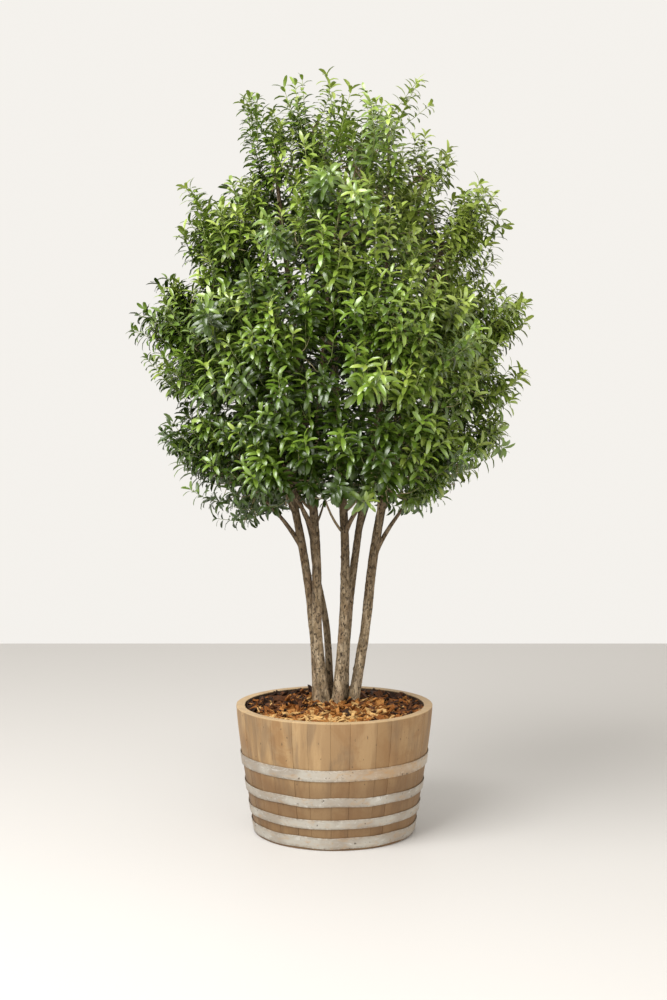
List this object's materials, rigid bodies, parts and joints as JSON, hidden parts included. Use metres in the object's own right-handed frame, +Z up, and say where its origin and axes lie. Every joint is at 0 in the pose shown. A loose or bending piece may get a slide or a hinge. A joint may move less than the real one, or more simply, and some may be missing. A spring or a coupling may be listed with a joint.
{
  "type": "potted multi-stem holly osmanthus",
  "caption": "Evergreen multi-stem tree with an egg-shaped leafy crown on bare fanned stems, in a planter made of half an oak wine barrel.",
  "frame": {"origin": "on the floor, under the centre of the barrel's round foot", "axes": "+Z up along the stems, -Y towards the shown side, +X to the viewer's right"},
  "size_m": [1.4329, 1.2913, 2.6851],
  "materials": {
    "oak": "matte",
    "hoop_steel": "satin",
    "mulch": "matte",
    "bark": "matte",
    "foliage": "satin"
  },
  "bodies": {
    "root": {"barrel_head": "oak", "barrel_staves": "oak", "bough_low_back_left": "bark", "bough_low_back_right": "bark", "bough_low_front_left": "bark", "bough_low_front_right": "bark", "bough_low_left": "bark", "bough_low_right": "bark", "bough_mid_back_left": "bark", "bough_mid_back_right": "bark", "bough_mid_front_left": "bark", "bough_mid_front_right": "bark", "bough_mid_left": "bark", "bough_mid_right": "bark", "bough_peak_right": "bark", "bough_top_front": "bark", "bough_upper_back": "bark", "bough_upper_front": "bark", "foliage_low_back_left": "foliage", "foliage_low_back_right": "foliage", "foliage_low_front_left": "foliage", "foliage_low_front_right": "foliage", "foliage_low_left": "foliage", "foliage_low_right": "foliage", "foliage_mid_back_left": "foliage", "foliage_mid_back_right": "foliage", "foliage_mid_front_left": "foliage", "foliage_mid_front_right": "foliage", "foliage_mid_left": "foliage", "foliage_mid_right": "foliage", "foliage_peak_left": "foliage", "foliage_peak_right": "foliage", "foliage_top_back": "foliage", "foliage_top_front": "foliage", "foliage_top_left": "foliage", "foliage_top_right": "foliage", "foliage_upper_back": "foliage", "foliage_upper_front": "foliage", "foliage_upper_left": "foliage", "foliage_upper_right": "foliage", "hoop_foot": "hoop_steel", "hoop_high": "hoop_steel", "hoop_low": "hoop_steel", "hoop_middle": "hoop_steel", "mulch_and_soil": "mulch", "stem_back_left": "bark", "stem_front_left": "bark", "stem_left": "bark", "stem_middle": "bark", "stem_middle_back": "bark", "stem_right": "bark"}
  },
  "joints": []
}
